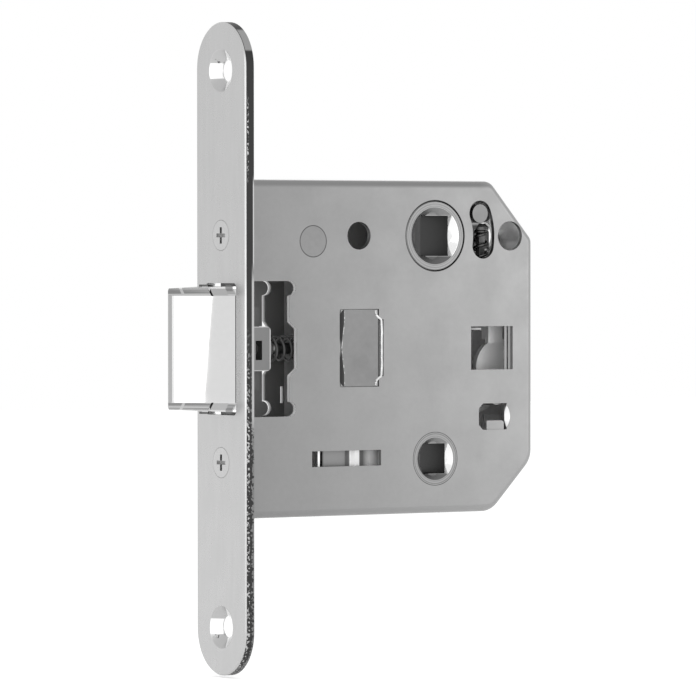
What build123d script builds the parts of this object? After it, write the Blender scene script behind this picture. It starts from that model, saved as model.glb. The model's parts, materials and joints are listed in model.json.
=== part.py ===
from build123d import *
import math
import os

# A mortice spring latch with a lever follower and a privacy turn.
# X runs from the face of the forend into the door, Y across the door's thickness, Z is up.
# The origin is the centre of the forend's front face, midway between its two fixing holes.
# The bevel of the latch looks towards -Y.

# Forend
forend_height = 128.0
forend_width = 18.0
forend_thickness = 2.0
forend_edge_break = 0.25
forend_hole_spacing = 109.0
forend_hole_d = 4.3
forend_countersink_d = 8.5
forend_countersink_depth = 1.5

# Case
case_thickness = 11.0
case_sheet = 1.0
case_height = 66.4
case_back = 71.0
case_bend_radius = 1.5
top_chamfer_x = 10.1
top_chamfer_z = 11.6
top_chamfer_radius = 3.0
bottom_chamfer_x = 9.8
bottom_chamfer_z = 10.3
bottom_chamfer_radius = 5.0
rear_corner_radius = 2.0

# Followers
backset = 47.0
lever_below_top = 11.0
lever_square = 8.0
lever_hub_d = 14.1
hub_edge_break = 0.25
lever_turn = 32.0
turn_above_bottom = 10.9
turn_square = 6.0
turn_hub_d = 10.5
turn_rotation = 90.0
running_clearance = 0.05
moving_clearance = 0.3

# Latch
latch_throw = 9.2
latch_thickness = 10.6
latch_nose_flat = 1.9
latch_nose_height = 23.7
latch_root_height = 24.5
latch_bevel_height = 20.8
latch_rim_depth = 0.9
latch_lip_height = 25.3
latch_lip_back = -3.3
latch_lip_length = 1.0
latch_lip_slope = 0.2
latch_lip_band = 2.1
latch_notch_width = 0.3
latch_notch_depth = 0.35
latch_shoulder_front = -0.85
latch_nose_radius = 0.7
latch_inset = 2.6
slot_clearance = 0.25
slot_corner_radius = 0.8

# Latch spring and stem
stem_d = 2.2
latch_spring_od = 5.2
latch_spring_wire = 0.5
latch_spring_coils = 8
spring_facets = 8
boss_end = 9.9
boss_height = 8.7
boss_near = 2.6
boss_corner_radius = 0.8
boss_slot_x = 6.4
boss_slot_length = 1.5
boss_slot_height = 3.8
boss_slot_drop = 0.3
boss_slot_far = 0.5
collar_d = 3.6
collar_length = 1.7
cheek_end = 11.45
cheek_height = 27.6
cheek_thickness = 1.2
cheek_ear_radius = 1.4
rib_end = 10.0
rib_height = 16.4

# Side window for the latch head
window_height = 26.6
window_depth = 12.5
far_window_depth = 13.1
window_lobe_radius = 1.45
window_bay_height = 7.8
window_bay_depth = 14.1
window_bay_slope = 1.4

# Guide block between the case sides
block_front = 24.4
block_length = 9.0
block_height = 15.4
block_seam = 0.12
block_bay = 1.2
block_bay_height = 11.3

# Holes in the case
rivet_x = 18.0
rivet_drop = 1.1
rivet_d = 6.1
rivet_body_d = 8.0
side_hole_spacing = 36.4
side_hole_front_d = 5.5
side_hole_rear_d = 5.9
view_window_x = 55.7
view_window_length = 10.2
view_window_height = 8.7
view_window_z = -0.3
low_window_x = 57.6
low_window_length = 6.8
low_window_height = 5.3
low_window_drop = 0.1
low_window_chamfer = 1.0
low_window_dish_radius = 3.36
low_window_dish_inset = 2.4
low_window_dish_depth = 0.8
cover_slot_x = 16.7
cover_slot_length = 0.7
cover_slot_drop = 9.3
cover_slot_height = 3.3
cover_pad_x = 65.3
cover_pad_length = 3.8
cover_pad_height = 3.6
cover_pad_rise = 0.8
strap_slot_x = 17.7
strap_slot_length = 16.3
strap_slot_height = 3.1
strap_slot_rise = 0.5

# Lever follower arm and its guide pin
arm_pin_radius = 11.8
arm_pin_angle = 22.3
arm_pin_d = 3.7
arm_pin_wall = 0.5
arm_slot_width = 5.2
arm_far = 0.0
arm_near = 3.0
arm_nose_radius = 1.5
arm_root_radius = 8.4

# Push rod and its return spring
rod_x = 60.7
rod_y = -1.5
rod_thickness = 1.2
rod_tongue_width = 1.4
rod_head_thickness = 1.3
rod_head_crown = 0.7
rod_head_rise = 2.5
rod_leg_width = 3.4
rod_leg_x = 64.0
rod_leg_low = 0.6
rod_foot_front = 60.1
rod_foot_back = 67.0
rod_foot_top = 1.4
rod_foot_radius = 5.8
rod_shoulder_height = 3.0
return_spring_od = 3.4
return_spring_wire = 0.6
return_spring_coils = 6
seat_drop = 12.2
seat_thickness = 1.2
seat_length = 5.8

# Draw lever
pivot_x = 51.5
pivot_above_turn = 8.3
pivot_d = 4.9
pivot_boss_radius = 3.8
pivot_head_d = 7.2
pivot_head_thickness = 0.7
draw_lever_near = 1.4
draw_lever_thickness = 2.0
pull_pin_d = 4.0
pull_pin_overhang = 0.4
push_pin_d = 3.6
pull_end_radius = 3.2
push_end_radius = 3.0
tail_thickness = 2.0
tail_height = 10.4
tail_window_height = 6.4
tail_wall = 1.6
tail_front_wall = 1.2
tail_front_radius = 1.0
tail_back_radius = 1.5

# Turn follower cam and its friction strap
cam_reach = 18.1
cam_tip_radius = 1.5
cam_flange_d = 12.5
cam_rest_angle = 119.0
cam_near = 4.2
cam_far = 2.6
strap_thickness = 0.5
strap_width = 4.4
strap_front_x = 20.5
strap_step_x = 22.3
strap_ramp_x = 27.5
strap_crest_x = 28.9
strap_fall_x = 33.5
strap_near_y = -3.6
strap_far_y = 2.0
strap_shelf_y = -2.2
strap_crest_y = -3.8
strap_fall_y = -2.9
strap_pad_near = -1.5
strap_pad_far = 1.8

# Forend fixing
fixing_spacing = 44.5
fixing_head_d = 5.9
fixing_shank_d = 3.3
fixing_head_depth = 1.3
fixing_length = 8.0
fixing_recess_width = 0.75
fixing_recess_span = 3.2
fixing_recess_depth = 1.1
fixing_block_length = 7.5
fixing_block_height = 8.0
fixing_block_chamfer = 0.6

# Values that follow from the sizes above
half_case = case_thickness / 2
gap = half_case - case_sheet
case_front = forend_thickness
half_height = case_height / 2
lever_z = half_height - lever_below_top
turn_z = turn_above_bottom - half_height
rivet_z = lever_z - rivet_drop
strap_slot_z = turn_z + strap_slot_rise
rod_head_z = lever_z + rod_head_rise
seat_top = lever_z - seat_drop
pivot_z = turn_z + pivot_above_turn
low_window_z = pivot_z - low_window_drop
cut_over = 1.0
half_latch = latch_thickness / 2
lever_hole_d = lever_hub_d + 2 * running_clearance
turn_hole_d = turn_hub_d + 2 * running_clearance
fixing_hole_d = fixing_shank_d + 2 * running_clearance
block_back = block_front + block_length


def slab(profile, y_low, y_high):
    """Thicken an X-Z profile from y_low to y_high."""
    return Pos(0, y_high, 0) * extrude(Plane.XZ * profile, amount=y_high - y_low, dir=(0, -1, 0))


def rod_x_axis(diameter, x_low, x_high, y=0.0, z=0.0):
    """A round bar along X."""
    bar = Cylinder(diameter / 2, x_high - x_low, rotation=(0, 90, 0))
    return Pos((x_low + x_high) / 2, y, z) * bar


def rod_y_axis(diameter, y_low, y_high, x, z):
    """A round bar along Y."""
    bar = Cylinder(diameter / 2, y_high - y_low, rotation=(90, 0, 0))
    return Pos(x, (y_low + y_high) / 2, z) * bar


def block(x_low, x_high, y_low, y_high, z_low, z_high):
    """A box between two corners."""
    size = Box(x_high - x_low, y_high - y_low, z_high - z_low)
    return Pos((x_low + x_high) / 2, (y_low + y_high) / 2, (z_low + z_high) / 2) * size


def rectangle(x_low, x_high, z_low, z_high):
    """A rectangle in an X-Z profile."""
    return Pos((x_low + x_high) / 2, (z_low + z_high) / 2) * Rectangle(x_high - x_low, z_high - z_low)


def rounded_polygon(corners):
    """A closed outline from (x, z, radius) corners."""
    face = make_face(Polyline(*[(x, z) for x, z, _ in corners], close=True))
    for x, z, radius in corners:
        if radius > 0:
            corner = face.vertices().sort_by_distance((x, z, 0))[0]
            face = fillet(corner, radius)
    return face


def arm_outline(circles):
    """The hull round a row of (x, z, radius) circles."""
    edges = [Pos(x, z) * Circle(radius) for x, z, radius in circles]
    return make_hull([edge for circle in edges for edge in circle.edges()])


def polar(x, z, radius, degrees):
    """The point at an angle and distance from a centre in the X-Z plane."""
    angle = math.radians(degrees)
    return x + radius * math.cos(angle), z + radius * math.sin(angle)


def spring_coil(wire, outer, length, coils):
    """A compression spring along Z from 0 to length, of six-sided wire, with a close turn at each end."""
    radius = (outer - wire) / 2
    close_rise = wire + running_clearance
    open_rise = (length - wire - 2 * close_rise) / coils
    points = []
    for step in range(spring_facets * (coils + 2) + 1):
        turns = step / spring_facets
        height = close_rise * min(turns, 1) + open_rise * min(max(turns - 1, 0), coils)
        height += close_rise * max(turns - 1 - coils, 0)
        x, y = polar(0, 0, radius, 360 * turns)
        points.append((x, y, height + wire / 2))
    path = Polyline(*points)
    start = Plane(origin=path @ 0, z_dir=path % 0)
    return sweep(start * RegularPolygon(wire / 2, 6), path=path, transition=Transition.RIGHT)


# The case outline, seen from the side
def case_outline():
    """The rectangle of the case with its two cut rear corners."""
    return rounded_polygon([
        (case_front, -half_height, 0),
        (case_back - bottom_chamfer_x, -half_height, bottom_chamfer_radius),
        (case_back, -half_height + bottom_chamfer_z, bottom_chamfer_radius),
        (case_back, half_height - top_chamfer_z, rear_corner_radius),
        (case_back - top_chamfer_x, half_height, top_chamfer_radius),
        (case_front, half_height, 0),
    ])


def latch_window(depth):
    """The cut-out that lets the latch head draw back between the sheets."""
    half = window_height / 2
    bay = window_bay_height / 2
    window = rectangle(case_front - cut_over, depth, -half, half)
    for side in (-1, 1):
        lobe = Pos(depth, side * (half - window_lobe_radius)) * Circle(window_lobe_radius)
        window += lobe
    window += make_face(Polyline(
        (depth - cut_over, -bay - window_bay_slope),
        (depth, -bay - window_bay_slope),
        (window_bay_depth, -bay),
        (window_bay_depth, bay),
        (depth, bay + window_bay_slope),
        (depth - cut_over, bay + window_bay_slope),
        close=True,
    ))
    return window


side_hole_x = (backset - side_hole_spacing / 2, backset + side_hole_spacing / 2)


def shared_holes(depth):
    """The openings that both case sides have in line, with the latch window cut to a depth."""
    holes = latch_window(depth)
    holes += Pos(backset, lever_z) * Circle(lever_hole_d / 2)
    holes += Pos(backset, turn_z) * Circle(turn_hole_d / 2)
    holes += Pos(side_hole_x[0], lever_z) * Circle(side_hole_front_d / 2)
    holes += Pos(side_hole_x[1], lever_z) * Circle(side_hole_rear_d / 2)
    holes += Pos(rivet_x, rivet_z) * Circle(rivet_d / 2 + running_clearance)
    return holes


def arm_slot():
    """The curved slot that the follower's guide pin runs in."""
    middle = arm_pin_angle - lever_turn / 2
    inner = arm_pin_radius - arm_slot_width / 2
    outer = arm_pin_radius + arm_slot_width / 2
    reach = 2 * outer
    ring = Circle(outer) - Circle(inner)
    edge_low = polar(0, 0, reach, middle - lever_turn / 2)
    edge_high = polar(0, 0, reach, middle + lever_turn / 2)
    wedge = make_face(Polyline((0, 0), edge_low, edge_high, close=True))
    slot = ring & wedge
    for angle in (middle - lever_turn / 2, middle + lever_turn / 2):
        slot += Pos(*polar(0, 0, arm_pin_radius, angle)) * Circle(arm_slot_width / 2)
    return Pos(backset, lever_z) * slot


def block_opening():
    """The opening that the guide block is staked into, with its bay at the back."""
    half = block_height / 2
    bay = block_bay_height / 2
    opening = rectangle(block_front, block_back + block_seam, -half, half)
    return opening + rectangle(block_back, block_back + block_bay, -bay, bay)


def low_window():
    """The low window, with its two front corners cut."""
    half = low_window_height / 2
    x_low = low_window_x
    x_high = low_window_x + low_window_length
    cut = low_window_chamfer
    return make_face(Polyline(
        (x_low, low_window_z - half + cut),
        (x_low + cut, low_window_z - half),
        (x_high, low_window_z - half),
        (x_high, low_window_z + half),
        (x_low + cut, low_window_z + half),
        (x_low, low_window_z + half - cut),
        close=True,
    ))


def low_window_dish():
    """The pressed crescent at the back edge of the low window."""
    radius = low_window_dish_radius
    depth = low_window_dish_depth
    edge = low_window_x + low_window_length
    dish = Cone(radius - depth, radius, depth, rotation=(90, 0, 0))
    dish = Pos(edge - low_window_dish_inset, -half_case + depth / 2, low_window_z) * dish
    return dish & block(edge - cut_over / 4, edge + radius, -half_case, gap, low_window_z - radius, low_window_z + radius)


def near_windows():
    """The openings that only the near side of the case has."""
    opening = arm_slot() + block_opening() + low_window()
    half_view = view_window_height / 2
    opening += rectangle(
        view_window_x, view_window_x + view_window_length,
        view_window_z - half_view, view_window_z + half_view,
    )
    half_strap = strap_slot_height / 2
    opening += rectangle(
        strap_slot_x, strap_slot_x + strap_slot_length,
        strap_slot_z - half_strap, strap_slot_z + half_strap,
    )
    return opening


def make_case_pan():
    """The near half: a sheet pan with its walls folded along the top, back and bottom."""
    outline = case_outline()
    outer = slab(outline, -half_case, gap)
    bends = outer.edges().filter_by(
        lambda edge: abs(edge.center().Y + half_case) < 0.01 and edge.center().X > case_front + 0.1
    )
    outer = fillet(bends, case_bend_radius)
    inside = offset(outline, amount=-case_sheet, kind=Kind.INTERSECTION)
    inside += rectangle(
        case_front - cut_over, case_front + 2 * case_sheet, -half_height + case_sheet, half_height - case_sheet
    )
    pan = outer - slab(inside, -gap, gap + cut_over)
    pan -= slab(shared_holes(window_depth) + near_windows(), -half_case - cut_over, -gap + cut_over)
    return pan - low_window_dish()


def make_case_cover():
    """The far half: a flat sheet on the pan's walls."""
    cover = slab(case_outline(), gap, half_case)
    cuts = shared_holes(far_window_depth)
    cuts += rectangle(block_front, block_back, -block_height / 4, block_height / 4)
    cuts += Pos(pivot_x, pivot_z) * Circle(pivot_d / 2)
    slot_top = cover_slot_height / 2 - cover_slot_drop
    cuts += rectangle(cover_slot_x, cover_slot_x + cover_slot_length, slot_top - cover_slot_height, slot_top)
    pad = block(
        cover_pad_x, cover_pad_x + cover_pad_length,
        gap - cover_pad_rise, gap, pivot_z - cover_pad_height, pivot_z,
    )
    return cover + pad - slab(cuts, gap - cut_over, half_case + cut_over)


def make_forend():
    """The faceplate, with round ends, two countersunk fixing holes and the latch slot."""
    straight = forend_height - forend_width
    face = SlotCenterToCenter(straight, forend_width, rotation=90)
    plate = extrude(Plane.YZ * face, amount=forend_thickness, dir=(1, 0, 0))
    front_edges = plate.edges().filter_by(lambda edge: abs(edge.center().X) < 0.01)
    plate = chamfer(front_edges, forend_edge_break)
    slot_width = latch_thickness + 2 * slot_clearance
    slot_height = latch_lip_height + 2 * slot_clearance
    slot = RectangleRounded(slot_width, slot_height, slot_corner_radius)
    plate -= Pos(-cut_over, 0, 0) * extrude(Plane.YZ * slot, amount=forend_thickness + 2 * cut_over, dir=(1, 0, 0))
    for side in (-1, 1):
        z = side * forend_hole_spacing / 2
        plate -= countersink(forend_countersink_d, forend_hole_d, forend_countersink_depth, z)
        z = side * fixing_spacing / 2
        plate -= countersink(fixing_head_d + 2 * running_clearance, fixing_hole_d, fixing_head_depth, z)
    return plate


def countersink(mouth_d, hole_d, depth, z):
    """A countersunk hole through the forend, entered from the front."""
    cone = Pos(depth / 2, 0, z) * Cone(mouth_d / 2, hole_d / 2, depth, rotation=(0, 90, 0))
    return cone + rod_x_axis(hole_d, -cut_over, forend_thickness + cut_over, z=z)


def make_fixing_screw(z):
    """A countersunk screw through the forend, flush with its face."""
    depth = fixing_head_depth
    head = Pos(depth / 2, 0, z) * Cone(fixing_head_d / 2, fixing_shank_d / 2, depth, rotation=(0, 90, 0))
    screw = head + rod_x_axis(fixing_shank_d, depth, fixing_length, z=z)
    half_span = fixing_recess_span / 2
    half_width = fixing_recess_width / 2
    upright = block(-cut_over, fixing_recess_depth, -half_width, half_width, z - half_span, z + half_span)
    level = block(-cut_over, fixing_recess_depth, -half_span, half_span, z - half_width, z + half_width)
    return screw - upright - level


def make_fixing_block(z):
    """The tapped block between the case sides that a forend screw pulls on."""
    half = fixing_block_height / 2
    body = block(case_front, case_front + fixing_block_length, -gap, gap, z - half, z + half)
    body = chamfer(body.edges().filter_by(Axis.Y), fixing_block_chamfer)
    back = case_front + fixing_block_length
    bore = rod_x_axis(fixing_hole_d, case_front - cut_over, back + cut_over, z=z)
    return body - bore


def make_case_rivet():
    """A shouldered pillar, staked flush in both case sides."""
    pillar = rod_y_axis(rivet_body_d, -gap, gap, rivet_x, rivet_z)
    return pillar + rod_y_axis(rivet_d, -half_case, half_case, rivet_x, rivet_z)


def make_guide_block():
    """The staked block that the latch stem slides in and its spring pushes on."""
    half = block_height / 2
    body = block(block_front, block_back, -gap, gap, -half, half)
    near = block(
        block_front + block_seam, block_back - block_seam,
        -half_case, -gap, -half + block_seam, half - block_seam,
    )
    far_half = block_height / 4 - running_clearance
    far = block(
        block_front + running_clearance, block_back - running_clearance,
        gap, half_case, -far_half, far_half,
    )
    stem_way = rod_x_axis(stem_d + 2 * moving_clearance, block_front - cut_over, block_back + cut_over)
    return body + near + far - stem_way


def make_latch_bolt():
    """The cast latch: a bevelled head, a boss for the spring and a guide cheek on the far side."""
    nose_x = -latch_throw
    nose_y = half_latch - latch_nose_flat
    plan = make_face(Polyline(
        (nose_x, nose_y),
        (0, -half_latch),
        (latch_inset, -half_latch),
        (latch_inset, half_latch),
        (nose_x, half_latch),
        close=True,
    ))
    head = extrude(plan, amount=latch_lip_height / 2, both=True, dir=(0, 0, 1))
    nose_edges = head.edges().filter_by(Axis.Z).filter_by(lambda edge: edge.center().X < nose_x + 0.01)
    head = fillet(nose_edges, latch_nose_radius)
    lips = head & slab(lip_elevation(), -half_latch, half_latch) & bevel_band(latch_lip_band)
    head &= slab(head_elevation(), -half_latch - cut_over, half_latch + cut_over)
    head = chamfer_rims(head + lips)
    head -= lip_notches()
    boss_half = boss_height / 2
    far_side = gap - moving_clearance
    boss = block(latch_inset, boss_end, -boss_near, far_side, -boss_half, boss_half)
    boss_edges = boss.edges().filter_by(Axis.Y).filter_by(lambda edge: edge.center().X > boss_end - 0.01)
    boss = fillet(boss_edges, boss_corner_radius)
    boss -= block(
        boss_slot_x, boss_slot_x + boss_slot_length,
        -boss_near - cut_over, boss_slot_far,
        -boss_slot_height / 2 - boss_slot_drop, boss_slot_height / 2 - boss_slot_drop,
    )
    stem_bore = rod_x_axis(stem_d, boss_slot_x + boss_slot_length, boss_end + cut_over)
    cheek_half = cheek_height / 2
    rib_half = rib_height / 2
    plate = rectangle(latch_inset, cheek_end, -cheek_half, cheek_half)
    for side in (-1, 1):
        plate += Pos(cheek_end, side * (window_height / 2 - window_lobe_radius)) * Circle(cheek_ear_radius)
    cheek = slab(plate, far_side - cheek_thickness, far_side)
    cheek -= block(boss_end, cheek_end + cut_over, 0, gap, -boss_half, boss_half)
    ribs = block(
        latch_inset, rib_end, far_side - 2 * cheek_thickness, far_side, -rib_half, rib_half
    )
    return head + cheek + ribs + boss - stem_bore


def bevel_band(depth):
    """The layer of the head that lies within a depth of the bevel."""
    nose_y = half_latch - latch_nose_flat
    run = math.hypot(latch_throw, nose_y + half_latch)
    shift_x = depth * (nose_y + half_latch) / run
    shift_y = depth * latch_throw / run
    layer = make_face(Polyline(
        (-latch_throw, nose_y),
        (0, -half_latch),
        (shift_x, -half_latch + shift_y),
        (shift_x - latch_throw, nose_y + shift_y),
        close=True,
    ))
    return extrude(layer, amount=latch_lip_height, both=True, dir=(0, 0, 1))


def lip_notches():
    """The grooves behind the lips, down the rims of the bevel."""
    band = bevel_band(latch_rim_depth + latch_notch_depth)
    front = latch_lip_back
    back = latch_lip_back + latch_notch_width
    low = latch_bevel_height / 2
    notches = block(front, back, -half_latch, half_latch, low, latch_lip_height)
    notches += block(front, back, -half_latch, half_latch, -latch_lip_height, -low)
    return notches & band


def head_elevation():
    """The head from the side, whose height grows from nose to root."""
    nose = latch_nose_height / 2
    root = latch_root_height / 2
    upper = [(-latch_throw, nose), (latch_shoulder_front, root), (latch_inset, root)]
    lower = [(x, -z) for x, z in reversed(upper)]
    return make_face(Polyline(*(upper + lower), close=True))


def lip_elevation():
    """The lips and shoulders of the bevel from the side, which stand above and below the head."""
    lip = latch_lip_height / 2
    lip_front = latch_lip_back - latch_lip_length
    hook = make_face(Polyline(
        (lip_front, -lip / 2),
        (lip_front + latch_lip_slope, -lip),
        (latch_lip_back, -lip),
        (latch_lip_back, lip),
        (lip_front + latch_lip_slope, lip),
        (lip_front, lip / 2),
        close=True,
    ))
    return hook + rectangle(latch_shoulder_front, 0, -lip, lip)


def chamfer_rims(head):
    """Slope the bevel's upper and lower rims away from its flat middle."""
    nose_y = half_latch - latch_nose_flat
    run = math.hypot(latch_throw, nose_y + half_latch)
    slope = math.degrees(math.atan2(latch_throw, -(nose_y + half_latch)))
    rim = (latch_nose_height - latch_bevel_height) / 2
    for side in (-1, 1):
        start = side * latch_bevel_height / 2
        wedge = make_face(Polyline(
            (0, start),
            (-latch_rim_depth, start + side * rim),
            (-latch_rim_depth, start + side * 2 * rim),
            (1, start + side * 2 * rim),
            (1, start),
            close=True,
        ))
        bar = extrude(Plane.XZ * wedge, amount=2 * run, both=True, dir=(0, 1, 0))
        head -= Pos(0, -half_latch, 0) * Rot(0, 0, slope - 270) * bar
    return head


def make_latch_stem():
    """The round stem with its spring collar."""
    stem = rod_x_axis(stem_d, boss_slot_x + boss_slot_length, tail_front)
    collar = Cone(collar_d / 2, stem_d / 2, collar_length, rotation=(0, 90, 0))
    return stem + Pos(boss_end + collar_length / 2, 0, 0) * collar


# The draw lever swings evenly each side of its middle, so its arms follow from the strokes.
nose_rise = rod_head_z + moving_clearance + arm_nose_radius - lever_z
nose_reach = math.hypot(rod_x - backset, nose_rise)
nose_angle = math.degrees(math.atan2(nose_rise, rod_x - backset))
rod_stroke = nose_rise - nose_reach * math.sin(math.radians(nose_angle - lever_turn))
pull_arm = -pivot_z
lever_swing = math.degrees(math.asin(latch_throw / 2 / pull_arm))
push_arm = rod_stroke / 2 / math.sin(math.radians(lever_swing))
pull_x, pull_z = polar(pivot_x, pivot_z, pull_arm, 90 + lever_swing)
push_x, push_z = polar(pivot_x, pivot_z, push_arm, lever_swing)
rod_foot_z = push_z + push_pin_d / 2 + moving_clearance
tail_window_back = pull_x + pull_pin_d / 2 + moving_clearance
tail_window_front = pull_x - pull_pin_d / 2 - moving_clearance - latch_throw
tail_front = tail_window_front - tail_front_wall


def make_latch_tail():
    """The flat yoke on the stem, whose long window lets the latch be pushed in by itself."""
    half = tail_height / 2
    plate = rounded_polygon([
        (tail_front, -half, tail_front_radius),
        (tail_window_back + tail_wall, -half, tail_back_radius),
        (tail_window_back + tail_wall, half, tail_back_radius),
        (tail_front, half, tail_front_radius),
    ])
    plate -= rectangle(tail_window_front, tail_window_back, -tail_window_height / 2, tail_window_height / 2)
    return slab(plate, -tail_thickness / 2, tail_thickness / 2)


def make_latch_spring():
    """The spring that throws the latch."""
    length = block_front - boss_end
    coil = spring_coil(latch_spring_wire, latch_spring_od, length, latch_spring_coils)
    return Pos(boss_end, 0, 0) * Rot(0, 90, 0) * coil


def follower_socket(square, hub_z):
    """A square way through a hub, dished at its near mouth to the square's corners."""
    mouth = square * math.sqrt(2) / 2
    depth = mouth - square / 2
    way = Pos(backset, 0, hub_z) * Box(square, case_thickness + 2 * cut_over, square)
    dish = Cone(square / 2, mouth, depth, rotation=(90, 0, 0))
    return way + Pos(backset, -half_case + depth / 2, hub_z) * dish


def make_lever_follower():
    """The lever follower: a hub that turns in both case sides, with one arm."""
    hub = rod_y_axis(lever_hub_d, -half_case, half_case, backset, lever_z)
    hub = chamfer(hub.edges().group_by(Axis.Y)[0], hub_edge_break)
    pin_x, pin_z = polar(backset, lever_z, arm_pin_radius, arm_pin_angle)
    nose_x, nose_z = polar(backset, lever_z, nose_reach, nose_angle)
    pin_boss = (pin_x, pin_z, arm_pin_d / 2 + arm_pin_wall)
    arm = arm_outline([(backset, lever_z, arm_root_radius), pin_boss])
    arm += arm_outline([pin_boss, (nose_x, nose_z, arm_nose_radius)])
    hub += slab(arm, -arm_near, arm_far)
    hub += rod_y_axis(2 * arm_root_radius, arm_far, gap - moving_clearance, backset, lever_z)
    hub -= rod_y_axis(arm_pin_d, -arm_near - cut_over, arm_far + cut_over, pin_x, pin_z)
    return hub - follower_socket(lever_square, lever_z)


def make_arm_pin():
    """The pin in the follower's arm that shows in the curved slot."""
    pin_x, pin_z = polar(backset, lever_z, arm_pin_radius, arm_pin_angle)
    return rod_y_axis(arm_pin_d, -half_case, arm_far, pin_x, pin_z)


def make_push_rod():
    """The flat rod: a tongue inside the return spring and a leg lapped on a rounded foot plate."""
    shoulder_top = seat_top - seat_thickness - moving_clearance
    tongue_top = rod_head_z - rod_head_thickness
    half_tongue = rod_tongue_width / 2
    half_leg = rod_leg_width / 2
    shoulder_low = shoulder_top - rod_shoulder_height
    shape = rectangle(rod_x - half_tongue, rod_x + half_tongue, shoulder_low, tongue_top)
    shape += rectangle(rod_x - half_tongue, rod_leg_x + half_leg, shoulder_low, shoulder_top)
    shape += rectangle(rod_leg_x - half_leg, rod_leg_x + half_leg, rod_leg_low, shoulder_top)
    foot = rounded_polygon([
        (rod_foot_front, rod_foot_z, 0),
        (rod_foot_back, rod_foot_z, 0),
        (rod_foot_back, rod_foot_top, 0),
        (rod_foot_front, rod_foot_top, rod_foot_radius),
    ])
    foot += rectangle(rod_leg_x - half_leg, rod_leg_x + half_leg, rod_foot_top, shoulder_low)
    lap = rod_y + rod_thickness / 2
    return slab(shape, rod_y - rod_thickness / 2, lap) + slab(foot, lap, lap + rod_thickness)


def make_push_rod_head():
    """The crowned head pressed on the push rod, under the follower's nose."""
    head = Pos(0, 0, -rod_head_thickness / 2) * Cylinder(return_spring_od / 2, rod_head_thickness)
    crown = head.edges().group_by(Axis.Z)[-1]
    head = chamfer(crown, rod_head_crown)
    return Pos(rod_x, rod_y, rod_head_z) * head


def make_return_spring():
    """The spring that lifts the push rod and turns the follower back."""
    length = rod_head_z - rod_head_thickness - seat_top
    coil = spring_coil(return_spring_wire, return_spring_od, length, return_spring_coils)
    return Pos(rod_x, rod_y, seat_top) * coil


def make_spring_seat():
    """The cross plate that the return spring stands on."""
    half = seat_length / 2
    plate = block(rod_x - half, rod_x + half, -gap, gap, seat_top - seat_thickness, seat_top)
    half_x = rod_tongue_width / 2 + moving_clearance
    half_y = rod_thickness / 2 + moving_clearance
    return plate - block(
        rod_x - half_x, rod_x + half_x, rod_y - half_y, rod_y + half_y,
        seat_top - seat_thickness - cut_over, seat_top + cut_over,
    )


def make_draw_lever():
    """The bell crank that turns the push rod's stroke into the latch's throw."""
    shape = arm_outline([(pivot_x, pivot_z, pivot_boss_radius), (pull_x, pull_z, pull_end_radius)])
    shape += arm_outline([(pivot_x, pivot_z, pivot_boss_radius), (push_x, push_z, push_end_radius)])
    shape -= Pos(pivot_x, pivot_z) * Circle(pivot_d / 2 + running_clearance)
    shape -= Pos(pull_x, pull_z) * Circle(pull_pin_d / 2)
    shape -= Pos(push_x, push_z) * Circle(push_pin_d / 2)
    return slab(shape, draw_lever_near, draw_lever_near + draw_lever_thickness)


def make_lever_pivot():
    """The stud in the far side that the draw lever swings on."""
    lever_far = draw_lever_near + draw_lever_thickness
    head_far = draw_lever_near - moving_clearance
    stud = rod_y_axis(pivot_head_d, head_far - pivot_head_thickness, head_far, pivot_x, pivot_z)
    stud += rod_y_axis(pivot_d, head_far - pivot_head_thickness, half_case, pivot_x, pivot_z)
    return stud + rod_y_axis(pivot_head_d, lever_far + moving_clearance, gap, pivot_x, pivot_z)


def make_pull_pin():
    """The pin that draws the latch tail."""
    far = draw_lever_near + draw_lever_thickness
    return rod_y_axis(pull_pin_d, -tail_thickness / 2 - pull_pin_overhang, far, pull_x, pull_z)


def make_push_pin():
    """The pin under the push rod's foot, which the privacy cam blocks."""
    far = draw_lever_near + draw_lever_thickness
    return rod_y_axis(push_pin_d, -cam_near, far, push_x, push_z)


def make_turn_follower():
    """The privacy follower, whose cam swings under the push pin."""
    hub = rod_y_axis(turn_hub_d, -half_case, half_case, backset, turn_z)
    tip_x, tip_z = polar(backset, turn_z, cam_reach - cam_tip_radius, cam_rest_angle)
    cam = arm_outline([(backset, turn_z, turn_hub_d / 2), (tip_x, tip_z, cam_tip_radius)])
    hub += slab(cam, -cam_near, -cam_far)
    hub += rod_y_axis(cam_flange_d, -cam_near, -cam_far, backset, turn_z)
    return hub - follower_socket(turn_square, turn_z)


def make_friction_strap():
    """The bent strap that steadies the privacy follower, seen through the level slot."""
    pad_x = backset - turn_hub_d / 2 - moving_clearance - strap_thickness
    path = Polyline(
        (strap_front_x, strap_near_y),
        (strap_front_x, strap_far_y),
        (strap_step_x, strap_far_y),
        (strap_step_x, strap_shelf_y),
        (strap_ramp_x, strap_shelf_y),
        (strap_crest_x, strap_crest_y),
        (strap_fall_x, strap_fall_y),
        (pad_x, strap_pad_near),
        (pad_x, strap_pad_far),
    )
    ribbon = trace(path, line_width=strap_thickness)
    low = strap_slot_z - strap_width / 2
    return Pos(0, 0, low) * extrude(ribbon, amount=strap_width, dir=(0, 0, 1))


os.makedirs("parts", exist_ok=True)

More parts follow.
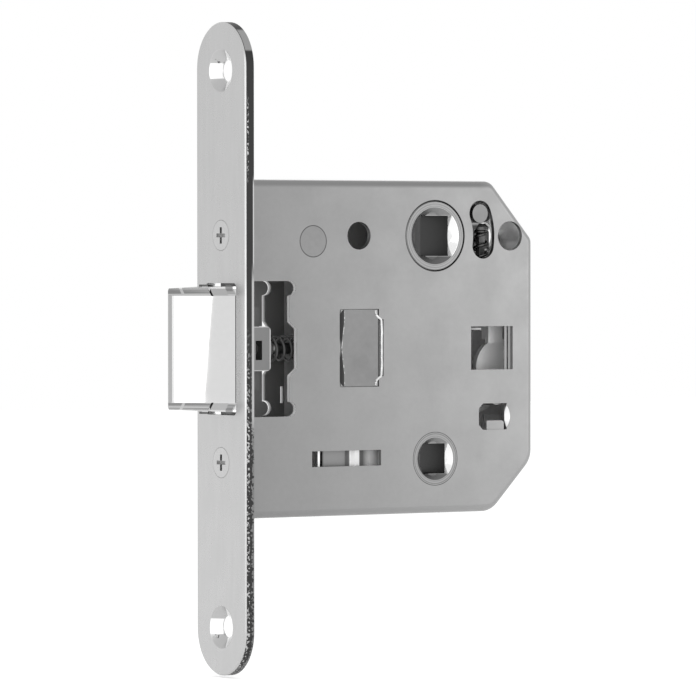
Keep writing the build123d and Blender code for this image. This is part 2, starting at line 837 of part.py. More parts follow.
parts = {
    "forend": make_forend(),
    "forend_screw_upper": make_fixing_screw(fixing_spacing / 2),
    "forend_screw_lower": make_fixing_screw(-fixing_spacing / 2),
    "fixing_block_upper": make_fixing_block(fixing_spacing / 2),
    "fixing_block_lower": make_fixing_block(-fixing_spacing / 2),
    "case_pan": make_case_pan(),
    "case_cover": make_case_cover(),
    "case_rivet": make_case_rivet(),
    "guide_block": make_guide_block(),
    "spring_seat": make_spring_seat(),
    "lever_pivot": make_lever_pivot(),
    "friction_strap": make_friction_strap(),
    "latch_bolt": make_latch_bolt(),
    "latch_stem": make_latch_stem(),
    "latch_tail": make_latch_tail(),
    "latch_spring": make_latch_spring(),
    "lever_follower": make_lever_follower(),
    "arm_pin": make_arm_pin(),
    "push_rod": make_push_rod(),
    "push_rod_head": make_push_rod_head(),
    "return_spring": make_return_spring(),
    "draw_lever": make_draw_lever(),
    "pull_pin": make_pull_pin(),
    "push_pin": make_push_pin(),
    "turn_follower": make_turn_follower(),
}

for name, solid in parts.items():
    export_step(solid, f"parts/{name}.step")
    print(name, len(solid.solids()), round(solid.volume, 1))

print("rod stroke", round(rod_stroke, 3), "lever swing", round(2 * lever_swing, 3))
print("push pin", round(push_x, 2), round(push_z, 2), "pull pin", round(pull_x, 2), round(pull_z, 2))
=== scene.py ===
# %% [markdown]
# This lesson dresses a mortice spring latch for a door. Its solids come from the CAD model: a round-ended
# forend, a bevelled latch, a flat pressed case and the mechanism that shows through the case's openings.
# Everything is metal, so the work is in the finishes, the fine edges and the light. We start by loading the solids
# as a fixed frame, and we keep their overall box.
# %% Load the solids
import json
import math
import bpy
import numpy as np
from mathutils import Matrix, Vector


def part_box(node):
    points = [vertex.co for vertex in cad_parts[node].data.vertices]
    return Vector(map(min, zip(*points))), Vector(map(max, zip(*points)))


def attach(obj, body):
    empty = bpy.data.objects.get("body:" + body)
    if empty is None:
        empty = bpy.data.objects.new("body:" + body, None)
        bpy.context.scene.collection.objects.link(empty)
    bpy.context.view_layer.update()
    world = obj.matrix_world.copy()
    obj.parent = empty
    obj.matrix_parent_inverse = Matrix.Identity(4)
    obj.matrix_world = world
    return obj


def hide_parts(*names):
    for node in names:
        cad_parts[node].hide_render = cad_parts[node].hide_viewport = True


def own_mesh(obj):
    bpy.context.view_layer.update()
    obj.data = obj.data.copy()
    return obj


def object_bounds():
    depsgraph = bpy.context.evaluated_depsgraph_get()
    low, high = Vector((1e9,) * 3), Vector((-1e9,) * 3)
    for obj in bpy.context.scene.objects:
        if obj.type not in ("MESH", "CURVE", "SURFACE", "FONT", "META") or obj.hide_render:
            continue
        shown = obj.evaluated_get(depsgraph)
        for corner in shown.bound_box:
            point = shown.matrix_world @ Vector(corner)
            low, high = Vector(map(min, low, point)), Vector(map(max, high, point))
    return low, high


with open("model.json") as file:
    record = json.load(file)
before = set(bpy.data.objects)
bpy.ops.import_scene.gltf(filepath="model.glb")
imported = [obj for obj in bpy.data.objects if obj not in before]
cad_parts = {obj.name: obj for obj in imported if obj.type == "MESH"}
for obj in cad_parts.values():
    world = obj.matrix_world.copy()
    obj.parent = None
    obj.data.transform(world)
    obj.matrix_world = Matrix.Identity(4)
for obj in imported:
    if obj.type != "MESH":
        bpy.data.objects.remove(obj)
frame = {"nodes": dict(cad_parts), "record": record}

MM = 0.001
cad_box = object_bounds()
nodes = frame["nodes"]
print(len(nodes), "nodes, box", [round(v / MM, 1) for corner in cad_box for v in corner])

# %% [markdown]
# Several places and sizes are needed again and again below, all in millimetres. The backset is how far the two
# followers turn behind the forend's face. It comes from the frame's mounts, with the case's near face and the
# heights of the followers and of the fixing holes. The centres of the forend's round ends come from the overall
# box. The other sizes are the solids' own. A square's corner lies 0.7071 of its side away from its middle.
# %% Shared places and sizes
mounts = {mount["name"]: mount for mount in frame["record"]["mounts"]}
BACKSET, NEAR_FACE, LEVER_Z = (round(v / MM, 6) for v in mounts["lever_spindle"]["pos_m"])
TURN_Z = round(mounts["privacy_spindle"]["pos_m"][2] / MM, 6)
FIXING_Z = mounts["forend_fixing"]["dims"]["spacing_y_mm"] / 2
END_CENTRE = round((cad_box[1][2] - cad_box[1][1]) / MM, 3)
LEVER_SQUARE, LEVER_HUB, LEVER_HOLE = 8.0, 14.1, 14.2
TURN_SQUARE, TURN_HUB, TURN_HOLE = 6.0, 10.5, 10.6
RIVET_X, RIVET_Z, RIVET_EDGE = 18.0, 21.1, 3.0
SCREW_Z = 22.25
CORNER_REACH = 0.7071
CASE_FRONT, CASE_BACK = 2.0, 71.0
print("followers at", (BACKSET, LEVER_Z), (BACKSET, TURN_Z), "near face", NEAR_FACE, "round ends", END_CENTRE)

# %% [markdown]
# The photograph was taken with a long lens, from the left of the case and a little above its middle. A camera
# fitted to the forend's outline, the case's corners and the two followers gives these numbers. A long lens
# keeps the case's top and bottom edges almost parallel, which a short lens would not. The distances are in
# millimetres, and the lens is given in pixels of the photograph.
# %% Place the camera
azimuth, pitch, roll = math.radians(33.331), math.radians(1.0055), math.radians(-0.039)
distance, shift_right, shift_up = 1087.417, 24.885, 0.19
focal_pixels, picture_pixels, sensor = 5553.8, 696, 36.0
forward = np.array([math.sin(azimuth) * math.cos(pitch), math.cos(azimuth) * math.cos(pitch), -math.sin(pitch)])
right = np.array([math.cos(azimuth), -math.sin(azimuth), 0.0])
up = np.cross(right, forward)
right_rolled = right * math.cos(roll) + up * math.sin(roll)
up_rolled = up * math.cos(roll) - right * math.sin(roll)
position = (shift_right * right + shift_up * up - distance * forward) * MM
lens_data = bpy.data.cameras.new("portrait_lens")
lens_data.sensor_width = sensor
lens_data.lens = sensor * focal_pixels / picture_pixels
lens_data.clip_start, lens_data.clip_end = 0.05, 20.0
camera = bpy.data.objects.new("portrait_camera", lens_data)
bpy.context.scene.collection.objects.link(camera)
turned = np.eye(4)
turned[:3, 0], turned[:3, 1], turned[:3, 2], turned[:3, 3] = right_rolled, up_rolled, -forward, position
camera.matrix_world = turned.T.tolist()
bpy.context.scene.camera = camera
bpy.context.scene.view_settings.view_transform = "Standard"
print("camera at", [round(float(v), 4) for v in camera.matrix_world.translation])

# %% [markdown]
# Every finish is a small tree of shader nodes. Writing each one out by hand would bury the idea, so one helper
# adds a node, sets its values and joins its inputs. An input may be given a number, a colour or another node's
# output.
# %% A helper for shader nodes
def put(tree, kind, inputs=None, **settings):
    """Add one shader node, set its properties and fill or join its inputs."""
    made = tree.nodes.new(kind)
    for name, value in settings.items():
        setattr(made, name, value)
    for name, value in (inputs or {}).items():
        socket = made.inputs[name]
        if isinstance(value, bpy.types.NodeSocket):
            tree.links.new(value, socket)
        else:
            socket.default_value = value
    return made


def grey(level):
    """A linear colour from a grey level."""
    return (level, level, level, 1.0)


# %% [markdown]
# Metal is never one flat tone. Plating varies slowly over a few centimetres, handling leaves soft smudges that
# change the roughness, and rolling or pressing leaves a fine grain. The three layers here are the same for all
# the steels, with their own sizes and strengths: a slow noise for tone, a mid noise for smudges, and a fine
# stretched noise for grain, which also feeds the bump.
#
# Some places on a piece have a tone of their own: a sheared edge is duller than the plate, and the inside of a case
# is paler and rougher than its outside. Other zones are painted light and shade, such as a follower's square way,
# painted dark as shade. Each such zone is a mask made of object coordinates, and a list of zones is blended over the
# plain tone in its order.
# %% Masks from object coordinates
def spot(tree):
    """The object coordinate and its three parts, in metres."""
    place = put(tree, "ShaderNodeTexCoord").outputs["Object"]
    parts = put(tree, "ShaderNodeSeparateXYZ", {"Vector": place})
    return place, parts.outputs["X"], parts.outputs["Y"], parts.outputs["Z"]


def calc(tree, operation, a, b=0.0):
    """One maths node."""
    return put(tree, "ShaderNodeMath", {0: a, 1: b}, operation=operation).outputs[0]


def remap(tree, value, low, high, to_low=0.0, to_high=1.0):
    """A straight, clamped change of range."""
    step = put(tree, "ShaderNodeMapRange", {"Value": value, "From Min": low, "From Max": high,
                                            "To Min": to_low, "To Max": to_high})
    return step.outputs["Result"]


def noise(tree, vector, scale, detail, **more):
    """Noise on a coordinate, as one number from 0 to 1."""
    inputs = {"Vector": vector, "Scale": float(scale), "Detail": detail, **more}
    return put(tree, "ShaderNodeTexNoise", inputs).outputs["Fac"]


def rise(tree, value, low, high):
    """A mask that climbs from 0 at low to 1 at high, in millimetres."""
    return remap(tree, value, low * MM, high * MM)


def within(tree, value, low, high, soft=0.04):
    """A mask that is 1 between low and high, in millimetres, with soft ends."""
    return calc(tree, "MULTIPLY", rise(tree, value, low - soft, low + soft),
                rise(tree, value, high + soft, high - soft))


def long_side(tree, a, b):
    """The long side of a right triangle, from its two short sides."""
    squares = calc(tree, "ADD", calc(tree, "MULTIPLY", a, a), calc(tree, "MULTIPLY", b, b))
    return calc(tree, "SQRT", squares)


def away(tree, x, z, centre_x, centre_z):
    """The distance from a line along Y through (centre_x, centre_z), as a socket in metres."""
    return long_side(tree, calc(tree, "SUBTRACT", x, centre_x * MM), calc(tree, "SUBTRACT", z, centre_z * MM))


def both(tree, first, *others):
    """The product of several masks."""
    for other in others:
        first = calc(tree, "MULTIPLY", first, other)
    return first


# %% [markdown]
# The zones of each piece are written as small functions. Each gives a list of (mask, level, roughness), and a
# fourth number where a zone is less metallic than the rest, as the oiled inside of the case is.
#
# The forend's sheared edge lies more than 8.8 mm from the line between the centres of its two round ends. It is
# dull, and its plating is broken into bright specks low down. A countersink gets a painted reflection, a bright band
# across its middle, which widens towards one side. The face next to the latch and a patch high on the edge get
# painted reflections too.
# %% Zones of the forend
def edge_zones(tree, crumb, broken, x, y, z):
    """The sheared edge: smooth and dark in front, torn and paler behind, with specks, a lip, a paler patch near the
    top that is a painted reflection, and a paler strip on the face next to the latch that is a painted reflection of
    the latch.
    """
    over = calc(tree, "MAXIMUM", calc(tree, "SUBTRACT", calc(tree, "ABSOLUTE", z), END_CENTRE * MM), 0.0)
    edge = both(tree, rise(tree, long_side(tree, y, over), 8.8, 8.9), rise(tree, x, 0.22, 0.30))
    low_down = rise(tree, z, 6.0, -14.0)
    specks = both(tree, edge, broken, rise(tree, x, 1.05, 0.85), low_down)
    shake = calc(tree, "MULTIPLY", calc(tree, "SUBTRACT", crumb, 0.5), 3.0 * MM)
    torn = both(tree, edge, rise(tree, calc(tree, "ADD", x, shake), 1.50, 1.66), low_down)
    lip = both(tree, edge, rise(tree, x, 1.45, 1.52), within(tree, z, -15.0, 15.0, 2.0))
    thin = both(tree, edge, rise(tree, x, 1.72, 1.78), within(tree, z, 16.0, 33.0, 1.0))
    # Painted reflection of the latch: a paler strip on the face next to the latch window.
    painted_latch_reflection = both(tree, rise(tree, y, -7.2, -8.9), within(tree, z, -12.0, 12.0, 2.0), rise(tree, x, 0.3, 0.2))
    few = both(tree, edge, broken, within(tree, x, 0.45, 0.75, 0.1), within(tree, z, 34.0, 48.0, 2.0))
    # Painted reflection: a paler patch on the edge near the upper round end.
    painted_reflection_patch = both(tree, edge, within(tree, z, 58.2, 62.3, 0.2), rise(tree, x, 0.35, 0.45))
    return [(edge, 0.045, 0.45), (specks, 0.50, 0.25), (torn, 0.20, 0.4), (lip, 0.42, 0.35),
            (thin, 0.5, 0.35), (painted_latch_reflection, 0.64, 0.28), (few, 0.6, 0.3), (painted_reflection_patch, 0.32, 0.4)]


def hole_zones(tree, broken, x, y, z):
    """The two countersinks with their bright bands, which are painted reflections, and a thin joint round each
    screw.
    """
    height = calc(tree, "SUBTRACT", calc(tree, "ABSOLUTE", z), FIXING_Z * MM)
    flat = calc(tree, "ABSOLUTE", height)
    sink = both(tree, rise(tree, away(tree, y, height, 0.0, 0.0), 4.4, 4.3), within(tree, x, 0.05, 1.8, 0.02))
    widen = calc(tree, "MAXIMUM", calc(tree, "MULTIPLY", calc(tree, "SUBTRACT", 0.5 * MM, y), 1.2), 0.0)
    # Painted reflection: the glint is a bright band across each countersink, wider towards one side.
    glint = both(tree, sink, rise(tree, calc(tree, "SUBTRACT", flat, widen), 1.6, 1.4))
    scratch = both(tree, sink, broken, within(tree, height, 1.5, 2.3), within(tree, y, 2.0, 3.3))
    screw = calc(tree, "MINIMUM", away(tree, y, z, 0.0, SCREW_Z), away(tree, y, z, 0.0, -SCREW_Z))
    joint = both(tree, within(tree, screw, 2.94, 3.04, 0.05), rise(tree, x, 0.2, 0.1))
    return [(sink, 0.47, 0.35), (glint, 0.95, 0.35), (scratch, 0.08, 0.4), (joint, 0.30, 0.4)]


def forend_zones(tree, place, x, y, z):
    """The edge first and the holes over it. Both use the same fine crumbs of plating."""
    crumb = noise(tree, place, 2400, 3.0)
    broken = remap(tree, crumb, 0.52, 0.60)
    return edge_zones(tree, crumb, broken, x, y, z) + hole_zones(tree, broken, x, y, z)


# %% [markdown]
# The case's two sides are paler inside. On the near side there are also thin dark joints round the staked pieces,
# painted shade on the top bend and in the gap next to the block, and painted highlights on the walls of two windows
# and along a bend inside. The guide block and the rivet are staked in that side, so their zones are here too.
# %% Zones of the case, the block and the rivet
INSIDE_TONE = (0.95, 0.6, 0.15)


def pan_zones(tree, place, x, y, z):
    """The inside with a painted highlight along a bend, painted shade on the top bend, the joints, painted shade in
    the gap next to the block, and painted highlights on the walls of two windows.
    """
    inside = both(tree, rise(tree, y, -4.7, -4.4), rise(tree, y, 4.7, 4.4))
    joints = within(tree, away(tree, x, z, RIVET_X, RIVET_Z), RIVET_EDGE, RIVET_EDGE + 0.18)
    for centre_z, hole in ((LEVER_Z, LEVER_HOLE), (TURN_Z, TURN_HOLE)):
        ring = within(tree, away(tree, x, z, BACKSET, centre_z), hole / 2 - 0.05, hole / 2 + 0.07)
        joints = calc(tree, "MAXIMUM", joints, ring)
    # Painted shade: the top bend is darker than the side.
    bend = both(tree, rise(tree, z, 31.6, 32.3), rise(tree, y, -4.2, -5.2), rise(tree, x, 62.0, 58.0))
    tall = calc(tree, "ABSOLUTE", z)
    # Painted shade: a dark band in the gap next to the guide block, wider away from its middle.
    gap = both(tree, within(tree, x, 24.2, 24.5), within(tree, tall, 1.2, 7.2, 0.6), rise(tree, y, -5.3, -5.4))
    # Painted highlight: a bright patch at the back edge of the low window.
    pressed = both(tree, within(tree, x, 64.35, 65.5, 0.25), within(tree, z, -16.6, -11.8, 0.5),
                   within(tree, y, -5.42, -4.6, 0.03))
    # Painted highlight: the walls of the latch window are matt white, so they show as bright lines.
    cut = both(tree, within(tree, y, -5.44, -4.55, 0.03), within(tree, x, 11.5, 18.5, 0.3),
               rise(tree, tall, 13.8, 13.4))
    # Painted highlight: a bright line along the inner bend at the back, seen through the rear hole.
    painted_bend_highlight = both(tree, inside, within(tree, z, 23.0, 23.45), rise(tree, x, 60.0, 62.0))
    return [(bend, 0.24, 0.4), (inside, *INSIDE_TONE), (painted_bend_highlight, 1.0, 0.4, 0.2), (joints, 0.12, 0.4),
            (gap, 0.06, 0.4), (cut, 1.0, 0.6, 0.0), (pressed, 0.85, 0.3)]


def cover_zones(tree, place, x, y, z):
    """The inside of the far side and the duller walls of its openings."""
    cut = both(tree, within(tree, y, 4.45, 4.85, 0.1), within(tree, x, 12.9, 17.6))
    return [(rise(tree, y, 4.7, 4.4), *INSIDE_TONE), (cut, 0.12, 0.5)]


def block_zones(tree, place, x, y, z):
    """Painted shade in the gap along the block's rolled front edge, wide towards its ends, painted highlights in
    specks next to it, and painted highlights on its rounded front corners.
    """
    tall = calc(tree, "ABSOLUTE", z)
    roll = remap(tree, tall, 0.2 * MM, 5.0 * MM, 0.15 * MM, 0.80 * MM)
    past = calc(tree, "SUBTRACT", x, roll)
    face = rise(tree, y, -5.2, -5.3)
    # Painted shade: the gap along the block's front edge is dark.
    gap = both(tree, rise(tree, past, 24.48, 24.40), face)
    # Painted highlight: bright specks just behind the dark gap, along the block's front edge.
    painted_edge_highlight = both(tree, remap(tree, noise(tree, place, 1500, 2.0), 0.48, 0.58),
                 within(tree, past, 24.5, 24.62, 0.05), face)
    # Painted highlight: the rounded front corners are lighter.
    corner = both(tree, rise(tree, away(tree, x, tall, 25.5, 6.6), 1.02, 1.08), rise(tree, x, 25.5, 25.4),
                  rise(tree, tall, 6.5, 6.6))
    return [(painted_edge_highlight, 0.6, 0.3), (gap, 0.045, 0.4), (corner, 0.31, 0.36)]


def rivet_zones(tree, place, x, y, z):
    """A thin dark joint round the staked end."""
    return [(rise(tree, away(tree, x, z, RIVET_X, RIVET_Z), RIVET_EDGE - 0.06, RIVET_EDGE), 0.16, 0.4)]


# %% [markdown]
# A follower's square way is painted dark as shade. The mouth round it gets a painted reflection, bright, with
# painted shade on its top, bottom and front, and its face has turned rings. The sill is the mouth's inner edge, and
# its depth is a share of the square's side. The two followers differ only in their size and place, so one function
# makes the zones of either.
# %% Zones of the followers
SILL_SHARE = 0.175
RING_STEP = 0.46


def hub_zones(centre_z, square, hub):
    """The square way painted dark as shade, the mouth's painted reflection with painted shade on its top, bottom and
    front, a painted highlight on the square's back wall, the turned rings, a dark ring painted as shade, and the
    arm, darker beyond the hub.
    """
    def zones(tree, place, x, y, z):
        half = square / 2
        wide = within(tree, calc(tree, "SUBTRACT", x, BACKSET * MM), -half - 0.03, half + 0.03, 0.01)
        tall = within(tree, calc(tree, "SUBTRACT", z, centre_z * MM), -half - 0.03, half + 0.03, 0.01)
        # Painted shade: the square way is dark.
        way = both(tree, wide, tall)
        gap = away(tree, x, z, BACKSET, centre_z)
        brim = square * CORNER_REACH
        sill = NEAR_FACE + SILL_SHARE * square
        # Painted reflection: the mouth round the square is bright.
        painted_mouth_reflection = both(tree, rise(tree, gap, brim + 0.12, brim + 0.02), rise(tree, y, sill + 0.08, sill + 0.02))
        # Painted highlight: the square way's back wall near the face is matt white.
        lit = both(tree, tall, within(tree, x, BACKSET + half - 0.1, BACKSET + half + 0.05),
                   rise(tree, y, sill + 0.04, sill))
        # Painted shade: the mouth's top, bottom and front are darker than its bright painted reflection.
        top = both(tree, painted_mouth_reflection, rise(tree, z, centre_z + half * 0.95, centre_z + half * 1.05))
        bottom = both(tree, painted_mouth_reflection, rise(tree, z, centre_z - half * 0.95, centre_z - half * 1.05))
        front = both(tree, painted_mouth_reflection, rise(tree, x, BACKSET - half * 0.9, BACKSET - half * 1.0))
        turned = calc(tree, "SINE", calc(tree, "MULTIPLY", gap, 2 * math.pi / (RING_STEP * MM)))
        rings = both(tree, remap(tree, turned, 0.2, 0.9), rise(tree, gap, brim + 0.1, brim + 0.2),
                     rise(tree, gap, hub / 2, hub / 2 - 0.1), rise(tree, y, -5.2, -5.3))
        # Painted shade: a dark ring just inside the hub's edge.
        painted_groove_shade = within(tree, gap, hub / 2 - 0.30, hub / 2 - 0.22, 0.05)
        arm = both(tree, rise(tree, gap, hub / 2 + 0.1, hub / 2 + 0.3), rise(tree, z, 24.6, 24.2))
        return [(painted_mouth_reflection, 0.85, 0.15), (front, 0.14, 0.45, 0.4), (top, 0.26, 0.35), (bottom, 0.15, 0.4),
                (rings, 0.33, 0.3), (painted_groove_shade, 0.15, 0.35), (way, 0.045, 0.4), (lit, 1.0, 0.6, 0.0),
                (arm, 0.06, 0.4)]
    return zones


# %% [markdown]
# The latch is polished in front and plain cast behind. Its sloped rims get painted reflections, a dark band with
# paler stripes streaked along X, and its nose, lips and shoulder get painted shade. The stem's end, the push rod and
# the strap get painted highlights and painted shade along X, and the stem's shank is dark.
# %% Zones of the latch and the pieces behind it
def latch_zones(tree, place, x, y, z):
    """Painted reflections on the sloped rims of the bevel, streaked along X, painted shade on its nose, lips and
    shoulder, the plain cast part behind, and a painted highlight along the cast part's edges.
    """
    tall = calc(tree, "ABSOLUTE", z)
    # Painted reflection: the sloped rims get a dark band, with paler stripes from stretched noise and paler parts
    # along X.
    rim = both(tree, rise(tree, tall, 10.45, 10.55), rise(tree, x, 0.3, 0.1))
    drawn = put(tree, "ShaderNodeMapping", {"Vector": place, "Scale": (40, 40, 1700)}).outputs["Vector"]
    painted_streaks = noise(tree, drawn, 1, 1.0)
    streak = both(tree, rim, remap(tree, painted_streaks, 0.42, 0.62))
    # Painted shade: the lips and the shoulder are dark.
    lip = both(tree, rise(tree, tall, 12.2, 12.3), rise(tree, x, 0.1, 0.0))
    shoulder = both(tree, rise(tree, tall, 11.2, 11.4), within(tree, x, -0.85, 0.05), painted_streaks)
    pale = both(tree, rim, within(tree, x, -3.2, -0.9))
    ring = both(tree, rim, within(tree, x, -7.3, -6.9))
    # Painted shade: the nose is darker than the polished bevel.
    nose = rise(tree, x, -8.7, -9.0)
    cast = rise(tree, x, 2.4, 2.6)
    # Painted highlight: a pale line along the cast part's edges on the near side.
    outline = calc(tree, "MAXIMUM", rise(tree, x, 9.62, 9.72), rise(tree, tall, 4.16, 4.26))
    painted_cast_edge_highlight = both(tree, cast, outline, rise(tree, y, -2.0, -2.4))
    cheek = both(tree, cast, rise(tree, y, 0.5, 1.0))
    return [(nose, 0.42, 0.2), (rim, 0.24, 0.3), (streak, 0.52, 0.3), (pale, 0.42, 0.3), (ring, 0.50, 0.3),
            (lip, 0.10, 0.4), (shoulder, 0.10, 0.4), (cast, 0.22, 0.42, 0.8), (cheek, 0.30, 0.6, 0.1),
            (painted_cast_edge_highlight, 0.5, 0.3)]


def stem_zones(tree, place, x, y, z):
    """The shank behind the riveted end of the stem is dark, and the end's bright tone is a painted highlight."""
    return [(rise(tree, x, 11.7, 11.9), 0.12, 0.4)]


def rod_zones(tree, place, x, y, z):
    """Painted shade on the push rod and its head towards the front and a painted highlight towards the back, and the
    upper end is the darkest.
    """
    # Painted shade towards the front and a painted highlight towards the back.
    return [(rise(tree, x, 62.0, 57.0), 0.17, 0.45, 0.6), (rise(tree, x, 61.8, 64.0), 1.0, 0.45, 0.45),
            (rise(tree, z, 8.0, 10.0), 0.17, 0.4, 0.7)]


def strap_zones(tree, place, x, y, z):
    """Painted light and shade along the strap: a painted highlight on its front, painted shade on its middle and in
    two creases, a painted highlight on the crest, painted shade on the slope behind, and a painted highlight at the
    back.
    """
    # The strap's zones paint highlights and shade along X.
    creases = calc(tree, "MAXIMUM", within(tree, x, 21.7, 22.3, 0.1), within(tree, x, 27.4, 28.0, 0.1))
    return [(rise(tree, x, 21.7, 21.5), 1.0, 0.5), (within(tree, x, 21.6, 28.0, 0.1), 0.24, 0.35),
            (creases, 0.13, 0.4), (within(tree, x, 28.1, 29.8, 0.1), 0.70, 0.4),
            (rise(tree, x, 29.8, 30.0), 0.13, 0.5, 0.3), (rise(tree, x, 30.8, 32.6), 1.0, 0.6, 0.0)]


# %% [markdown]
# One function then makes each finish from its numbers and its zones. The three noises keep the same scale in
# every finish, in cycles to the metre.
# %% The plated steels
SLOW_SCALE, SMUDGE_SCALE, GRAIN_SCALE = 45, 140, 900


def plated_steel(name, level, roughness, stretch=(1, 1, 1), vary=0.05, smudge=0.05, grain=0.03,
                 depth=0.01, metal=1.0, painted_light_ramp=None, zones=None):
    """A metal whose tone, roughness and bump each come from noise on object coordinates. A ramp is a pair of levels
    from the case's front to its back, which paints light and shade: darker in front, lighter behind."""
    steel = bpy.data.materials.new(name)
    steel.use_nodes = True
    tree = steel.node_tree
    tree.nodes.clear()
    place, x, y, z = spot(tree)
    slow = noise(tree, place, SLOW_SCALE, 2.0)
    smear = noise(tree, place, SMUDGE_SCALE, 4.0, Roughness=0.6)
    along = put(tree, "ShaderNodeMapping", {"Vector": place, "Scale": stretch}).outputs["Vector"]
    fine = noise(tree, along, GRAIN_SCALE, 3.0)
    tone = put(tree, "ShaderNodeMix", {"Factor": slow, "A": grey(level * (1 - vary)), "B": grey(level * (1 + vary))},
               data_type="RGBA")
    strength = remap(tree, fine, 0.3, 0.7, 1 - grain, 1 + grain)
    # Painted light and shade: the tone grows from the first level at the case's front to the second at its back.
    if painted_light_ramp:
        slope = remap(tree, x, CASE_FRONT * MM, CASE_BACK * MM, *painted_light_ramp)
        strength = calc(tree, "MULTIPLY", strength, slope)
    colour = put(tree, "ShaderNodeVectorMath", {0: tone.outputs["Result"], "Scale": strength}, operation="SCALE")
    colour = colour.outputs["Vector"]
    rough = remap(tree, smear, 0.35, 0.65, roughness - smudge, roughness + smudge)
    for mask, zone_level, zone_rough, *zone_metal in (zones(tree, place, x, y, z) if zones else []):
        colour = put(tree, "ShaderNodeMix", {"Factor": mask, "A": colour, "B": grey(zone_level)},
                     data_type="RGBA").outputs["Result"]
        rough = put(tree, "ShaderNodeMix", {0: mask, 2: rough, 3: zone_rough}).outputs[0]
        if zone_metal:
            metal = put(tree, "ShaderNodeMix", {0: mask, 2: metal, 3: zone_metal[0]}).outputs[0]
    bump = put(tree, "ShaderNodeBump", {"Height": fine, "Strength": 0.35, "Distance": depth * MM})
    shader = put(tree, "ShaderNodeBsdfPrincipled", {
        "Base Color": colour, "Metallic": metal, "Roughness": rough, "Normal": bump.outputs["Normal"]})
    put(tree, "ShaderNodeOutputMaterial", {"Surface": shader.outputs["BSDF"]})
    return steel


# %% [markdown]
# Each finish follows, with its tone first and its roughness second. The frame's record says which material slot
# each node has, and a few nodes get a finish of their own.
# %% The finishes on their nodes
case_look = {"vary": 0.03, "grain": 0.015}
nickel = plated_steel("forend_satin_nickel", 0.52, 0.28, stretch=(1, 1, 0.1), vary=0.03, grain=0.02,
                      zones=forend_zones)
# Painted light: the case is darker at its front and lighter at its back.
case_steel = plated_steel("case_bright_zinc", 0.305, 0.36, painted_light_ramp=(0.82, 1.14), zones=pan_zones, **case_look)
cover_steel = plated_steel("cover_bright_zinc", 0.305, 0.36, zones=cover_zones, **case_look)
polished = plated_steel("latch_polished_nickel", 0.69, 0.015, vary=0.01, smudge=0.005, grain=0.01, depth=0.0,
                        zones=latch_zones)
lever_zinc = plated_steel("lever_follower_zinc", 0.25, 0.34, zones=hub_zones(LEVER_Z, LEVER_SQUARE, LEVER_HUB))
turn_zinc = plated_steel("turn_follower_zinc", 0.25, 0.34, zones=hub_zones(TURN_Z, TURN_SQUARE, TURN_HUB))
block_zinc = plated_steel("block_cast_zinc", 0.22, 0.38, vary=0.08, smudge=0.08, zones=block_zones)
rivet_steel = plated_steel("rivet_staked_steel", 0.235, 0.34, zones=rivet_zones)
pin_steel = plated_steel("pin_steel", 0.235, 0.32)
screw_steel = plated_steel("screw_nickel", 0.54, 0.26)
inner_look = {"vary": 0.08, "grain": 0.05, "metal": 0.5}
inner_steel = plated_steel("inner_pressed_steel", 0.90, 0.42, **inner_look)
rod_steel = plated_steel("push_rod_steel", 0.80, 0.42, zones=rod_zones, **inner_look)
# The stem's bright tone is a painted highlight on its riveted end.
stem_steel = plated_steel("stem_end_painted_highlight", 0.75, 0.3, zones=stem_zones)
wire_steel = plated_steel("spring_drawn_wire", 0.13, 0.35, vary=0.08)
dark_wire = plated_steel("spring_oiled_wire", 0.14, 0.6, vary=0.08, metal=0.2)
# The burr's bright tone is partly a painted highlight.
burr_steel = plated_steel("block_burr_painted_highlight", 0.62, 0.3, vary=0.5, grain=0.2)
# The strap's tones are painted highlights and painted shade, set by its zones.
strap_steel = plated_steel("strap_painted_light_and_shade", 0.80, 0.24, zones=strap_zones)
finishes = {
    "forend_nickel": nickel, "case_zinc": case_steel, "latch_nickel": polished, "block_zinc": block_zinc,
    "follower_zinc": lever_zinc, "inner_steel": inner_steel, "rivet_steel": pin_steel,
    "screw_steel": screw_steel, "spring_steel": wire_steel, "strap_steel": strap_steel,
}
own_finish = {
    "turn_follower": turn_zinc, "case_rivet": rivet_steel, "case_cover": cover_steel,
    "latch_stem": stem_steel, "push_rod": rod_steel, "push_rod_head": rod_steel,
}
for part in frame["record"]["subparts"]:
    dressed = nodes[part["node"]].data.materials
    dressed.clear()
    dressed.append(own_finish.get(part["node"], finishes[part["material_slot"]]))

# %% [markdown]
# The two springs are real helices. In the solids their wire has six flat sides, which is right for weight and
# fit but shows as facets. Here each is one smooth tube: a circle carried along a helix whose first and last
# turns lie flat, as the closed ends of a ground spring do.
# %% Wind the springs
def smooth_object(name, points, faces):
    """A smooth-shaded object at the origin, from lists of points and faces."""
    mesh = bpy.data.meshes.new(name)
    mesh.from_pydata(points, [], faces)
    mesh.polygons.foreach_set("use_smooth", np.ones(len(mesh.polygons), bool))
    mesh.update()
    made = bpy.data.objects.new(name, mesh)
    bpy.context.scene.collection.objects.link(made)
    return made


